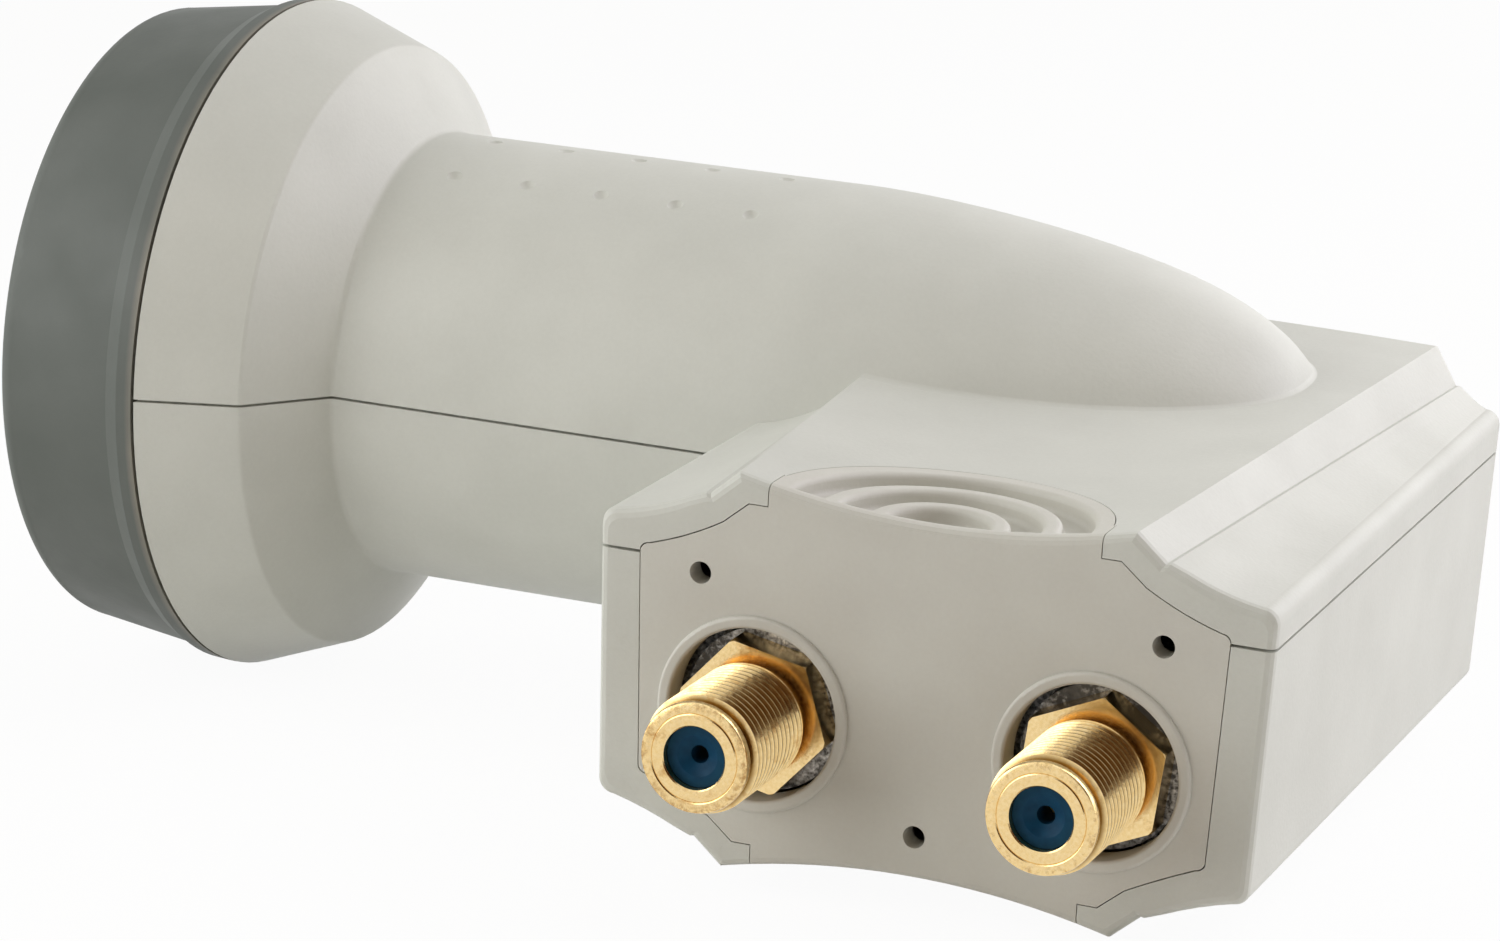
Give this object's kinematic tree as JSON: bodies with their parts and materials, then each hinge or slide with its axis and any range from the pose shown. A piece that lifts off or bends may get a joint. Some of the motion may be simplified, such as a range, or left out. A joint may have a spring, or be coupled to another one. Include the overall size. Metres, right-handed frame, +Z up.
{
  "type": "satellite lnb",
  "caption": "Satellite dish feed converter: capped feed horn on a round clamp neck that runs into a box housing with gold-plated coaxial F sockets in its end plate.",
  "frame": {"origin": "on the axis of the round clamp neck, at the middle of its length", "axes": "+X along the neck from the feed cap to the housing, -Y the way the F sockets point, +Z up as in the picture"},
  "size_m": [0.1227, 0.0929, 0.061],
  "materials": {
    "shell_plastic": "fine moulded texture, light warm grey",
    "plate_plastic": "fine moulded texture, light warm grey",
    "cap_plastic": "fine moulded texture, mid grey",
    "seal_rubber": "smooth",
    "cast_alloy": "as cast, dull",
    "board_laminate": "solder mask",
    "screw_steel": "zinc plated",
    "white_insulator": "waxy",
    "probe_brass": "drawn wire",
    "chip_resin": "moulded",
    "socket_gold": "turned, gold plated",
    "blue_insulator": "moulded, deep blue"
  },
  "bodies": {
    "root": {"feed_cap": "cap_plastic", "cap_seal": "seal_rubber", "upper_shell": "shell_plastic", "lower_shell": "shell_plastic", "end_plate": "plate_plastic", "chassis": "cast_alloy", "circuit_board": "board_laminate", "shield_lid": "cast_alloy", "lid_screws": "screw_steel", "probe_bushes": "white_insulator", "probe_upright": "probe_brass", "probe_cross": "probe_brass", "converter_chip": "chip_resin", "clock_crystal": "screw_steel", "voltage_regulators": "chip_resin", "amplifier_chips": "chip_resin", "socket_body_left": "socket_gold", "socket_body_right": "socket_gold", "socket_insulator_left": "blue_insulator", "socket_insulator_right": "blue_insulator", "centre_contact_left": "probe_brass", "centre_contact_right": "probe_brass"}
  },
  "joints": []
}
